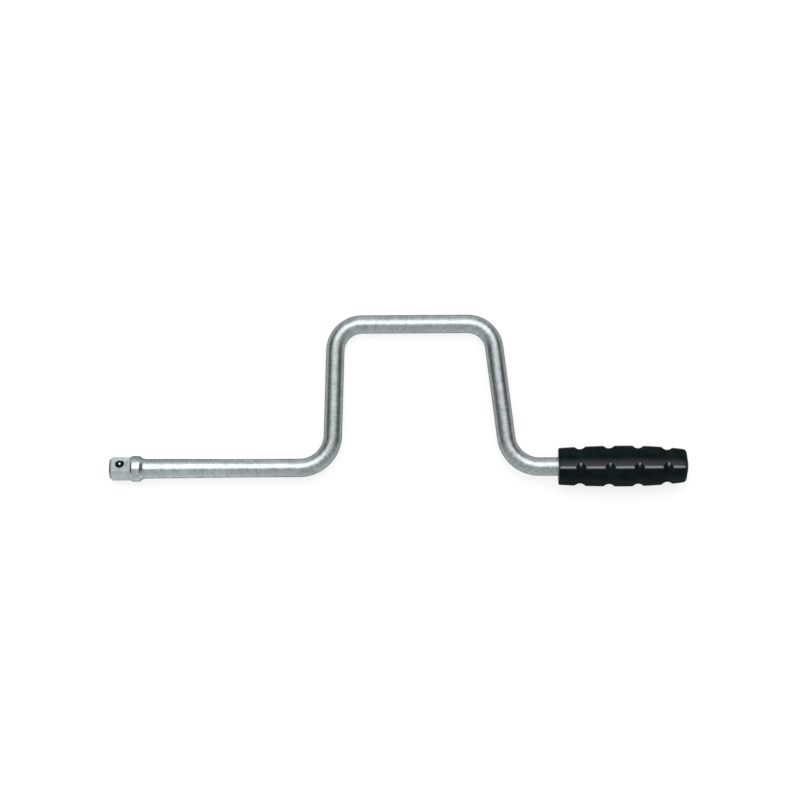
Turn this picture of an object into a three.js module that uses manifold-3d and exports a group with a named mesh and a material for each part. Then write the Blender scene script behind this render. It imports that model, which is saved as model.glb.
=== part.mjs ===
// Speed brace for half-inch square sockets, in millimetres: a round steel bar bent to a crank, with a
// sprung ball in its drive square and a ridged plastic grip that spins on a journal at its far end.
// The origin is the centre of the square's end face. +X runs along the drive axis to the grip, +Y points
// to the crown of the crank, and +Z is square to the crank's plane.
import * as THREE from 'three';
import { mergeVertices } from 'three/addons/utils/BufferGeometryUtils.js';
import Module from 'manifold-3d';

const wasm = await Module();
wasm.setup();

const QUARTER = Math.PI / 2;
const DEGREE = Math.PI / 180;

// Drive square. The flat that holds the ball is turned from +Z towards +Y.
const SQUARE_ACROSS = 12.7;
const SQUARE_LENGTH = 16;
const SQUARE_BEVEL_LENGTH = 1.4;
const SQUARE_BEVEL_DEPTH = 0.9;
const CORNER_DIAMETER = 17.7;
const CORNER_END_DIAMETER = 13.2;
const CORNER_TAPER = 2.3;
const SQUARE_TURN = 38 * DEGREE;

// Sprung ball, held in its hole by a narrower throat at the bottom of a shallow dish
const BALL_DIAMETER = 5;
const BALL_FROM_END = 8;
const BALL_HOLE_DEPTH = 8.4;
const BALL_HOLE_CLEARANCE = 0.15;
const THROAT_LIP = 0.1;
const THROAT_LENGTH = 0.25;
const DISH_DEPTH = 0.35;
const DISH_WIDTH = 1.1;
const SPRING_WIRE = 0.6;
const SPRING_PITCH = 1.1;
const SPRING_SIDE_CLEARANCE = 0.25;
const DETENT_GAP = 0.1;

// Forged collar, neck and tapered shank behind the square
const COLLAR_DIAMETER = 19.5;
const COLLAR_LENGTH = 7;
const COLLAR_CHAMFER_LENGTH = 1.5;
const COLLAR_CHAMFER_DEPTH = 0.95;
const NECK_LENGTH = 4.2;
const SHANK_DIAMETER = 14.9;
const SHANK_LENGTH = 72;
const SHANK_SINK = 0.05;

// Bent bar. Reaches and lengths run between the corners where its straights would meet.
const BAR_DIAMETER = 14;
const SHANK_REACH = 169;
const NEAR_LEG_LEAN = 3.7;
const CROWN_LENGTH = 117.9;
const FAR_LEG_LEAN = 13.8;
const STUB_REACH = 36.6;
const THROW = 108.8;
const FOOT_BEND = 25.5;
const CROWN_BEND = 20.5;

// Grip: ridge radii along it, faces between the ridges, and ring grooves across them
const GRIP_LENGTH = 99;
const GRIP_TURN = 2.5 * DEGREE;
const RIDGE_COUNT = 4;
const RIDGE_ROUND = 0.9;
const FRONT_RADIUS = 14.15;
const BELLY_RADIUS = 15.7;
const BELLY_FROM_FRONT = 50;
const REAR_RADIUS = 12.4;
const FACE_RADIUS = 12.3;
const FRONT_ROUND = 1.2;
const REAR_ROUND = 3.2;
const REAR_DOME = 1.1;
const GROOVE_COUNT = 4;
const GROOVE_START = 16.4;
const GROOVE_PITCH = 22.2;
const GROOVE_DEPTH = 1.9;
const GROOVE_ARC = 5.5;

// Bearing of the grip: the bar enters it, and its turned journal runs in two flanged bushes
const BAR_ENTRY = 6;
const BAR_CLEARANCE = 0.4;
const JOURNAL_DIAMETER = 9;
const JOURNAL_TAIL = 2.2;
const JOURNAL_CHAMFER = 0.6;
const JOURNAL_ROOT = 2;
const RUNNING_CLEARANCE = 0.1;
const END_PLAY = 0.2;
const SEAT_GAP = 0.1;
const BUSH_WALL = 1.4;
const BUSH_LENGTH = 15;
const BUSH_CHAMFER = 0.4;
const FLANGE_WIDTH = 0.7;
const FLANGE_THICKNESS = 1.4;
const WASHER_THICKNESS = 1.2;
const WASHER_CLEARANCE = 0.25;
const RECESS_DEPTH = 17;
const RECESS_CLEARANCE = 0.2;

// Retaining clip with one prong at its back and one at each side of its mouth
const CLIP_THICKNESS = 0.8;
const CLIP_HEIGHT = 1.5;
const CLIP_GROOVE_DEPTH = 1.3;
const CLIP_RELIEF = 0.35;
const CLIP_MOUTH = 40 * DEGREE;
const CLIP_PRONG = 24 * DEGREE;

// Cap that closes the grip's rear recess
const CAP_LENGTH = 8;
const CAP_WALL = 1.5;
const CAP_DOME = 0.9;
const CAP_EDGE = 0.3;

// Facets
const BAR_SIDES = 32;
const BORE_SIDES = 32;
const BALL_SIDES = 24;
const RING_SIDES = 48;
const BEND_STEPS = 10;
const ARC_STEPS = 3;
const BARREL_STEPS = 16;
const ROUND_STEPS = 4;
const WIRE_STEPS = 8;
const CUT_MARGIN = 1;

const barRadius = BAR_DIAMETER / 2;
const journalRadius = JOURNAL_DIAMETER / 2;
const ballRadius = BALL_DIAMETER / 2;
const gripStart = SHANK_REACH + NEAR_LEG_LEAN + CROWN_LENGTH + FAR_LEG_LEAN + STUB_REACH;

// Radii of the bearing's pieces, from the journal outwards
const bushBore = journalRadius + RUNNING_CLEARANCE;
const bushRadius = bushBore + BUSH_WALL;
const flangeRadius = bushRadius + FLANGE_WIDTH;
const recessRadius = flangeRadius + RECESS_CLEARANCE;
const counterboreRadius = Math.max(barRadius, flangeRadius) + BAR_CLEARANCE;

// Places along the grip, from its front face
const frontWasherAt = BAR_ENTRY + END_PLAY;
const frontBushAt = frontWasherAt + WASHER_THICKNESS + END_PLAY;
const counterboreDepth = frontBushAt + FLANGE_THICKNESS + SEAT_GAP;
const recessFloor = GRIP_LENGTH - RECESS_DEPTH;
const rearBushAt = recessFloor + SEAT_GAP + FLANGE_THICKNESS;
const rearWasherAt = rearBushAt + END_PLAY;
const clipAt = rearWasherAt + WASHER_THICKNESS + END_PLAY;
const journalEnd = clipAt + CLIP_THICKNESS + JOURNAL_TAIL;

const steel = { color: 0xc2c9c9, roughness: 0.28, metalness: 1 };
const bearingSteel = { color: 0x8f979a, roughness: 0.15, metalness: 1 };
const springSteel = { color: 0x7c8184, roughness: 0.35, metalness: 1 };
const zincPlate = { color: 0xaab0b2, roughness: 0.4, metalness: 1 };
const bronze = { color: 0xa9814c, roughness: 0.45, metalness: 1 };
const blackPlastic = { color: 0x15191a, roughness: 0.32, metalness: 0 };

/** Closed solid of a geometry. */
function solid(geometry) {
  geometry.deleteAttribute('normal');
  geometry.deleteAttribute('uv');
  const merged = mergeVertices(geometry);
  const vertProperties = Float32Array.from(merged.getAttribute('position').array);
  const triVerts = Uint32Array.from(merged.getIndex().array);
  return new wasm.Manifold(new wasm.Mesh({ numProp: 3, vertProperties, triVerts }));
}

/** Named mesh of a solid, with its own material. */
function piece(name, body, finish) {
  const { vertProperties, triVerts } = body.getMesh();
  const geometry = new THREE.BufferGeometry();
  geometry.setAttribute('position', new THREE.BufferAttribute(vertProperties, 3));
  geometry.setIndex(new THREE.BufferAttribute(triVerts, 1));
  geometry.computeVertexNormals();
  const mesh = new THREE.Mesh(geometry, new THREE.MeshStandardMaterial(finish));
  mesh.name = name;
  return mesh;
}

/** Profile through corners given as radius and place along the axis. */
function profile(...corners) {
  return new THREE.Path(corners.map(([radius, along]) => new THREE.Vector2(radius, along)));
}

/** Geometry turned about +X from a profile. */
function turned(path, sides = BORE_SIDES) {
  return new THREE.LatheGeometry(path.getPoints(ARC_STEPS * 2), sides).rotateZ(-QUARTER);
}

/** Flat ring on the X axis, from x = 0. */
function ring(innerRadius, outerRadius, thickness) {
  const inner = [innerRadius, 0];
  const outer = [outerRadius, 0];
  return solid(turned(profile(inner, outer, [outerRadius, thickness], [innerRadius, thickness], inner)));
}

/** Round section of a bar or wire. */
function roundSection(radius) {
  return new THREE.Shape().absarc(0, 0, radius, 0, Math.PI * 2);
}

/** Centreline of the bar: one step along each straight, and equal steps round each bend. */
class Centreline extends THREE.Curve {
  constructor(start, corners, radii, end) {
    super();
    this.stations = [[start, new THREE.Vector2().subVectors(corners[0], start).normalize()]];
    corners.forEach((corner, index) => {
      const before = new THREE.Vector2().subVectors(corner, corners[index - 1] ?? start).normalize();
      const after = new THREE.Vector2().subVectors(corners[index + 1] ?? end, corner).normalize();
      this.addBend(corner, before, after, radii[index]);
    });
    this.stations.push([end, this.stations.at(-1)[1]]);
    this.steps = this.stations.length - 1;
  }

  addBend(corner, before, after, radius) {
    const turn = Math.atan2(before.cross(after), before.dot(after));
    const tangent = radius * Math.tan(Math.abs(turn) / 2);
    const inwards = new THREE.Vector2(-before.y, before.x).multiplyScalar(Math.sign(turn));
    const start = corner.clone().addScaledVector(before, -tangent);
    const centre = start.clone().addScaledVector(inwards, radius);
    for (let step = 0; step <= BEND_STEPS; step += 1) {
      const angle = (turn * step) / BEND_STEPS;
      const origin = new THREE.Vector2();
      const point = start.clone().rotateAround(centre, angle);
      this.stations.push([point, before.clone().rotateAround(origin, angle)]);
    }
  }

  getPointAt(u) {
    const [point] = this.stations[Math.round(u * this.steps)];
    return new THREE.Vector3(point.x, point.y, 0);
  }

  getTangentAt(u) {
    const [, tangent] = this.stations[Math.round(u * this.steps)];
    return new THREE.Vector3(tangent.x, tangent.y, 0);
  }
}

/** Helix about +Y, from a base up to a top. */
class Helix extends THREE.Curve {
  constructor(radius, base, top, turns) {
    super();
    Object.assign(this, { radius, base, top, turns });
  }

  getPoint(t) {
    const angle = t * this.turns * Math.PI * 2;
    const along = THREE.MathUtils.lerp(this.base, this.top, t);
    return new THREE.Vector3(this.radius * Math.cos(angle), along, this.radius * Math.sin(angle));
  }
}

/** Bar along the crank, from inside the collar to its shoulder in the grip. */
function bentBar() {
  const nearCrown = SHANK_REACH + NEAR_LEG_LEAN;
  const farCrown = nearCrown + CROWN_LENGTH;
  const corners = [
    new THREE.Vector2(SHANK_REACH, 0),
    new THREE.Vector2(nearCrown, THROW),
    new THREE.Vector2(farCrown, THROW),
    new THREE.Vector2(farCrown + FAR_LEG_LEAN, 0),
  ];
  const start = new THREE.Vector2(SQUARE_LENGTH + COLLAR_LENGTH / 2, 0);
  const end = new THREE.Vector2(gripStart + BAR_ENTRY, 0);
  const extrudePath = new Centreline(start, corners, [FOOT_BEND, CROWN_BEND, CROWN_BEND, FOOT_BEND], end);
  const options = { steps: extrudePath.steps, extrudePath, curveSegments: BAR_SIDES / 2 };
  return solid(new THREE.ExtrudeGeometry(roundSection(barRadius), options));
}

/** Collar, curved neck and shank, which tapers until it runs into the bar. */
function forgedHead() {
  const collarRadius = COLLAR_DIAMETER / 2;
  const shankRadius = SHANK_DIAMETER / 2;
  const collarEnd = SQUARE_LENGTH + COLLAR_LENGTH;
  const neckEnd = collarEnd + NECK_LENGTH;
  const shankEnd = neckEnd + SHANK_LENGTH;
  const path = profile([0, SQUARE_LENGTH], [collarRadius - COLLAR_CHAMFER_DEPTH, SQUARE_LENGTH]);
  path.lineTo(collarRadius, SQUARE_LENGTH + COLLAR_CHAMFER_LENGTH);
  path.lineTo(collarRadius, collarEnd);
  path.quadraticCurveTo(shankRadius, collarEnd + collarRadius - shankRadius, shankRadius, neckEnd);
  path.lineTo(barRadius - SHANK_SINK, shankEnd);
  path.lineTo(0, shankEnd);
  return solid(turned(path, BAR_SIDES));
}

/** Square with bevelled flats and turned corners, reaching into the collar. */
function driveSquare() {
  const reach = SQUARE_LENGTH + COLLAR_LENGTH / 2;
  const flatCorner = (SQUARE_ACROSS / 2) * Math.SQRT2;
  const bevelCorner = flatCorner - SQUARE_BEVEL_DEPTH * Math.SQRT2;
  const flats = profile([0, 0], [bevelCorner, 0], [flatCorner, SQUARE_BEVEL_LENGTH]);
  flats.lineTo(flatCorner, reach);
  flats.lineTo(0, reach);
  const corners = profile([0, 0], [CORNER_END_DIAMETER / 2, 0], [CORNER_DIAMETER / 2, CORNER_TAPER]);
  corners.lineTo(CORNER_DIAMETER / 2, reach);
  corners.lineTo(0, reach);
  const square = turned(flats, 4).rotateX(QUARTER / 2 - SQUARE_TURN);
  return solid(square).intersect(solid(turned(corners)));
}

/** Depth of the ball's centre below its flat, with the ball just clear of the throat. */
function ballDepth() {
  const contact = ballRadius - THROAT_LIP - DETENT_GAP;
  return DISH_DEPTH + THROAT_LENGTH + Math.sqrt(ballRadius ** 2 - contact ** 2);
}

/** Dish, throat and blind hole of the detent, sunk into the square from one flat. */
function detentHole() {
  const flat = SQUARE_ACROSS / 2;
  const holeRadius = ballRadius + BALL_HOLE_CLEARANCE;
  const throatRadius = ballRadius - THROAT_LIP;
  const dishRadius = throatRadius + DISH_WIDTH;
  const throatTop = flat - DISH_DEPTH;
  const floor = flat - BALL_HOLE_DEPTH;
  const path = profile([0, floor], [holeRadius, floor], [holeRadius, throatTop - THROAT_LENGTH]);
  path.lineTo(throatRadius, throatTop - THROAT_LENGTH);
  path.lineTo(throatRadius, throatTop);
  path.lineTo(dishRadius, flat);
  path.lineTo(dishRadius, flat + CUT_MARGIN);
  path.lineTo(0, flat + CUT_MARGIN);
  const geometry = new THREE.LatheGeometry(path.getPoints(), BALL_SIDES);
  return solid(geometry.rotateX(QUARTER - SQUARE_TURN).translate(BALL_FROM_END, 0, 0));
}

/** Turned end of the bar that carries the grip, with the clip's groove near its tip. */
function journal() {
  const grooveRadius = journalRadius - CLIP_GROOVE_DEPTH;
  const grooveStart = clipAt - SEAT_GAP;
  const grooveEnd = clipAt + CLIP_THICKNESS + SEAT_GAP;
  const root = BAR_ENTRY - JOURNAL_ROOT;
  const path = profile([0, root], [journalRadius, root], [journalRadius, grooveStart]);
  path.lineTo(grooveRadius, grooveStart);
  path.lineTo(grooveRadius, grooveEnd);
  path.lineTo(journalRadius, grooveEnd);
  path.lineTo(journalRadius, journalEnd - JOURNAL_CHAMFER);
  path.lineTo(journalRadius - JOURNAL_CHAMFER, journalEnd);
  path.lineTo(0, journalEnd);
  return solid(turned(path).translate(gripStart, 0, 0));
}

function crankBar() {
  const body = bentBar().add(forgedHead()).add(driveSquare()).add(journal());
  return piece('crank_bar', body.subtract(detentHole()), steel);
}

/** Ball and spring, in a group whose +Y is the ball flat's outward direction. */
function detent() {
  const flat = SQUARE_ACROSS / 2;
  const ballAt = flat - ballDepth();
  const ball = new THREE.SphereGeometry(ballRadius, BALL_SIDES, BALL_SIDES / 2).translate(0, ballAt, 0);

  const wireRadius = SPRING_WIRE / 2;
  const coilRadius = ballRadius + BALL_HOLE_CLEARANCE - SPRING_SIDE_CLEARANCE - wireRadius;
  const reach = ballRadius + wireRadius + DETENT_GAP;
  const top = ballAt - Math.sqrt(reach ** 2 - coilRadius ** 2);
  const base = flat - BALL_HOLE_DEPTH + wireRadius + DETENT_GAP;
  const turns = (top - base) / SPRING_PITCH;
  const coil = new Helix(coilRadius, base, top, turns);
  const steps = Math.round(turns * WIRE_STEPS);
  const wire = new THREE.ExtrudeGeometry(roundSection(wireRadius), { steps, extrudePath: coil, curveSegments: 3 });
  console.log(`least gap between the spring's turns: ${leastSelfGap(coil, SPRING_WIRE).toFixed(2)} mm`);

  const group = new THREE.Group();
  group.position.x = BALL_FROM_END;
  group.rotation.x = QUARTER - SQUARE_TURN;
  group.add(piece('detent_ball', solid(ball), bearingSteel));
  group.add(piece('detent_spring', solid(wire), springSteel));
  return group;
}

/** Least gap of a wound wire to itself, measured between points half a turn apart or more. */
function leastSelfGap(coil, wire) {
  const perTurn = WIRE_STEPS * 4;
  const points = coil.getPoints(Math.round(coil.turns * perTurn));
  let least = Infinity;
  points.forEach((point, index) => {
    points.slice(index + perTurn / 2).forEach((other) => {
      least = Math.min(least, point.distanceTo(other));
    });
  });
  return least - wire;
}

/** Radius of the grip's ridges at a place along it: a barrel, fullest at its belly. */
function ridgeRadius(along) {
  const [end, edge] = along < BELLY_FROM_FRONT ? [0, FRONT_RADIUS] : [GRIP_LENGTH, REAR_RADIUS];
  const share = (along - BELLY_FROM_FRONT) / (end - BELLY_FROM_FRONT);
  return BELLY_RADIUS - (BELLY_RADIUS - edge) * share ** 2;
}

/** Ridge line of the whole grip, as places along it with their radii: rounded front, barrel, domed rear. */
function ridgeLine() {
  const line = [];
  const rearStart = GRIP_LENGTH - REAR_DOME - REAR_ROUND;
  for (let step = 0; step < ROUND_STEPS; step += 1) {
    const angle = (step / ROUND_STEPS) * QUARTER;
    const along = FRONT_ROUND * (1 - Math.cos(angle));
    line.push([along, ridgeRadius(along) - FRONT_ROUND * (1 - Math.sin(angle))]);
  }
  for (let step = 0; step < BARREL_STEPS; step += 1) {
    const along = THREE.MathUtils.lerp(FRONT_ROUND, rearStart, step / BARREL_STEPS);
    line.push([along, ridgeRadius(along)]);
  }
  for (let step = 0; step <= ROUND_STEPS; step += 1) {
    const angle = (step / ROUND_STEPS) * QUARTER;
    const along = rearStart + REAR_ROUND * Math.sin(angle);
    line.push([along, ridgeRadius(along) - REAR_ROUND * (1 - Math.cos(angle))]);
  }
  const domeRadius = line.at(-1)[1];
  for (let step = 1; step < ROUND_STEPS; step += 1) {
    const share = 1 - step / ROUND_STEPS;
    line.push([GRIP_LENGTH - REAR_DOME * share ** 2, domeRadius * share]);
  }
  return line;
}

/** Section at the belly: convex faces that run into rounded ridges. */
function gripSection() {
  const halfPitch = Math.PI / RIDGE_COUNT;
  const ridgeCentre = BELLY_RADIUS - RIDGE_ROUND;
  const faceInner = FACE_RADIUS - RIDGE_ROUND;
  const chord = ridgeCentre * Math.cos(halfPitch);
  const faceCentre = (ridgeCentre ** 2 - faceInner ** 2) / (faceInner - chord) / 2;
  const spread = Math.atan2(ridgeCentre * Math.sin(halfPitch), faceCentre + chord);
  const section = new THREE.Shape();
  for (let face = 0; face < RIDGE_COUNT; face += 1) {
    const normal = (face * 2 + 1) * halfPitch;
    const ridge = normal + halfPitch;
    const [faceX, faceY] = [-faceCentre * Math.cos(normal), -faceCentre * Math.sin(normal)];
    const [ridgeX, ridgeY] = [ridgeCentre * Math.cos(ridge), ridgeCentre * Math.sin(ridge)];
    section.absarc(faceX, faceY, faceCentre + FACE_RADIUS, normal - spread, normal + spread);
    section.absarc(ridgeX, ridgeY, RIDGE_ROUND, normal + spread, ridge + halfPitch - spread);
  }
  return section;
}

/** Outer form of the grip: its section swelled and drawn in along the ridge line. */
function gripForm() {
  const line = ridgeLine();
  const steps = line.length - 1;
  const options = { depth: steps, steps, bevelEnabled: false, curveSegments: ARC_STEPS };
  const geometry = new THREE.ExtrudeGeometry(gripSection(), options);
  const position = geometry.getAttribute('position');
  for (let index = 0; index < position.count; index += 1) {
    const [along, radius] = line[Math.round(position.getZ(index))];
    const scale = radius / BELLY_RADIUS;
    position.setXYZ(index, along, position.getX(index) * scale, position.getY(index) * scale);
  }
  return solid(geometry);
}

/** Ring that cuts one groove across the ridges. */
function grooveRing(along) {
  const floor = ridgeRadius(along) - GROOVE_DEPTH;
  const torus = new THREE.TorusGeometry(floor + GROOVE_ARC, GROOVE_ARC, BALL_SIDES, RING_SIDES);
  return solid(torus.rotateY(QUARTER).translate(along, 0, 0));
}

function grip() {
  const boreRadius = bushRadius + SEAT_GAP;
  const inside = profile([0, -CUT_MARGIN], [counterboreRadius, -CUT_MARGIN]);
  inside.lineTo(counterboreRadius, counterboreDepth);
  inside.lineTo(boreRadius, counterboreDepth);
  inside.lineTo(boreRadius, recessFloor);
  inside.lineTo(recessRadius, recessFloor);
  inside.lineTo(recessRadius, GRIP_LENGTH + CUT_MARGIN);
  inside.lineTo(0, GRIP_LENGTH + CUT_MARGIN);
  let body = gripForm().subtract(solid(turned(inside)));
  for (let groove = 0; groove < GROOVE_COUNT; groove += 1) {
    body = body.subtract(grooveRing(GROOVE_START + groove * GROOVE_PITCH));
  }
  return piece('grip', body, blackPlastic);
}

/** Flanged bush, with its flange's outer face at x = 0 and its sleeve along +X. */
function bush(name) {
  const end = FLANGE_THICKNESS + BUSH_LENGTH;
  const path = profile([bushBore, 0], [flangeRadius, 0], [flangeRadius, FLANGE_THICKNESS]);
  path.lineTo(bushRadius, FLANGE_THICKNESS);
  path.lineTo(bushRadius, end - BUSH_CHAMFER);
  path.lineTo(bushRadius - BUSH_CHAMFER, end);
  path.lineTo(bushBore, end);
  path.lineTo(bushBore, 0);
  return piece(name, solid(turned(path)), bronze);
}

/** Cup-shaped plug with a domed face, continuing the grip's rear end. */
function endCap() {
  const radius = recessRadius - SEAT_GAP;
  const rim = GRIP_LENGTH - CAP_DOME;
  const front = GRIP_LENGTH - CAP_LENGTH;
  const floor = rim - CAP_WALL;
  const path = profile([0, floor], [radius - CAP_WALL, floor], [radius - CAP_WALL, front], [radius, front]);
  path.lineTo(radius, rim - CAP_EDGE);
  path.lineTo(radius - CAP_EDGE, rim);
  path.quadraticCurveTo(radius / 2, GRIP_LENGTH, 0, GRIP_LENGTH);
  return piece('end_cap', solid(turned(path)), blackPlastic);
}

/** Everything that spins with the grip. */
function handle() {
  const group = new THREE.Group();
  group.position.x = gripStart;
  group.rotation.x = GRIP_TURN;
  const frontBush = bush('front_bush');
  frontBush.position.x = frontBushAt;
  const rearBush = bush('rear_bush');
  rearBush.position.x = rearBushAt;
  rearBush.rotation.y = Math.PI;
  group.add(grip(), frontBush, rearBush, endCap());
  return group;
}

/** Flat spring clip, open on one side, whose prongs reach into the journal's groove. */
function retainingClip() {
  const outer = journalRadius + CLIP_HEIGHT;
  const relief = journalRadius + CLIP_RELIEF;
  const seat = journalRadius - CLIP_GROOVE_DEPTH + SEAT_GAP;
  const back = CLIP_PRONG / 2;
  const side = CLIP_MOUTH + CLIP_PRONG;
  const full = Math.PI * 2;
  const outline = new THREE.Shape();
  outline.absarc(0, 0, outer, CLIP_MOUTH, full - CLIP_MOUTH);
  outline.absarc(0, 0, seat, full - CLIP_MOUTH, full - side, true);
  outline.absarc(0, 0, relief, full - side, Math.PI + back, true);
  outline.absarc(0, 0, seat, Math.PI + back, Math.PI - back, true);
  outline.absarc(0, 0, relief, Math.PI - back, side, true);
  outline.absarc(0, 0, seat, side, CLIP_MOUTH, true);
  const options = { depth: CLIP_THICKNESS, bevelEnabled: false, curveSegments: BALL_SIDES / 2 };
  return piece('retaining_clip', solid(new THREE.ExtrudeGeometry(outline, options).rotateY(QUARTER)), springSteel);
}

/** Pieces on the journal that stay with the bar: two thrust washers and the clip. */
function journalPieces() {
  const group = new THREE.Group();
  group.position.x = gripStart;
  const bore = journalRadius + WASHER_CLEARANCE;
  const frontWasher = piece('front_washer', ring(bore, barRadius, WASHER_THICKNESS), zincPlate);
  frontWasher.position.x = frontWasherAt;
  const rearWasher = piece('rear_washer', ring(bore, flangeRadius, WASHER_THICKNESS), zincPlate);
  rearWasher.position.x = rearWasherAt;
  const clip = retainingClip();
  clip.position.x = clipAt;
  group.add(frontWasher, rearWasher, clip);
  return group;
}

const brace = new THREE.Group();
brace.name = 'speed_brace';
brace.add(crankBar(), detent(), handle(), journalPieces());

export default brace;
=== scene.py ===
"""Dressed model of a speed brace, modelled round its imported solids.

All sizes are in metres. The origin is the centre of the drive square's end face, +X runs along the
drive axis to the grip, +Y points to the crown of the crank and +Z is square to the crank's plane.
"""

import logging
import math
from collections.abc import Callable, Iterator, Mapping, Sequence
from contextlib import contextmanager
from dataclasses import dataclass, field
from enum import Enum
from typing import Any

import bmesh
import bpy
from mathutils import Matrix, Vector


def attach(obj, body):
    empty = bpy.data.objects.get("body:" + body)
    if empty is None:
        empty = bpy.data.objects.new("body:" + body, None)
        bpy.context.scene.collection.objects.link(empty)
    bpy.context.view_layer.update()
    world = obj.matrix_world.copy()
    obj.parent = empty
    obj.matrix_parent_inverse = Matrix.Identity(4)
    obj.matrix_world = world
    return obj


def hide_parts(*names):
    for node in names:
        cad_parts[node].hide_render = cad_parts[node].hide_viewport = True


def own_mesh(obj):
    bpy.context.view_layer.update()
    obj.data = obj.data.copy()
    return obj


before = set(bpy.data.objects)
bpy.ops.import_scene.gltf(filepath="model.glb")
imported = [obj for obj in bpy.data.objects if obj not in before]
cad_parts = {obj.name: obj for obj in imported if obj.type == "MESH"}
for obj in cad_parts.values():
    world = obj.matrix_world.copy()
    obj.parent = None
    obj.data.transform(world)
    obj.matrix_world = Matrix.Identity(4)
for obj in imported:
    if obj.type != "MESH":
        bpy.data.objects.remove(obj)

LOG = logging.getLogger("speed_brace")

Colour = tuple[float, float, float, float]
Triple = tuple[float, float, float]
Span = tuple[float, float]
Station = tuple[float, float]

MM = 0.001
QUARTER = math.pi / 2
ALONG = Vector((1.0, 0.0, 0.0))
WHITE: Colour = (1.0, 1.0, 1.0, 1.0)

# Noise runs from 0 to 1 about this middle
MIDDLE = 0.5

# Places within NEAR of each other count as one place, and vertices within WELD are merged
NEAR = 0.002 * MM
WELD = 0.0005 * MM

# Edges sharper than these angles are rounded off, or stay crisp in the shading
SOFT_ANGLE = math.radians(28.0)
CRISP_ANGLE = math.radians(32.0)
SOFT_STEPS = 3


class Fit(Enum):
    """How one shape is put together with another."""

    CUT = "DIFFERENCE"
    JOIN = "UNION"
    COMMON = "INTERSECT"


class Body(Enum):
    """The bodies of the brace that move on their own."""

    CRANK = "crank"
    BALL = "ball"
    HANDLE = "handle"


class Slot(Enum):
    """The record's material slots."""

    CHROMED_STEEL = "chromed_steel"
    BALL_STEEL = "ball_steel"
    SPRING_STEEL = "spring_steel"
    ZINC_PLATE = "zinc_plate"
    BRONZE = "bronze"
    GRIP_PLASTIC = "grip_plastic"


class Signal:
    """A node's output that takes part in expressions, each of which adds its Math nodes."""

    def __init__(self, board: "Board", socket: bpy.types.NodeSocket) -> None:
        """Keeps the socket with the board that it is on."""
        self.board = board
        self.socket = socket

    def __add__(self, other: "Signal | float") -> "Signal":
        """Sum with a signal or a number."""
        return self.board.math("ADD", self, other)

    def __radd__(self, other: float) -> "Signal":
        """Sum of a number and this signal."""
        return self.board.math("ADD", other, self)

    def __sub__(self, other: "Signal | float") -> "Signal":
        """Difference to a signal or a number."""
        return self.board.math("SUBTRACT", self, other)

    def __rsub__(self, other: float) -> "Signal":
        """Difference of a number to this signal."""
        return self.board.math("SUBTRACT", other, self)

    def __mul__(self, other: "Signal | float") -> "Signal":
        """Product with a signal or a number."""
        return self.board.math("MULTIPLY", self, other)

    def __rmul__(self, other: float) -> "Signal":
        """Product of a number and this signal."""
        return self.board.math("MULTIPLY", other, self)

    def sibling(self, output: str) -> "Signal":
        """Another output of the same node."""
        return Signal(self.board, self.socket.node.outputs[output])


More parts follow.
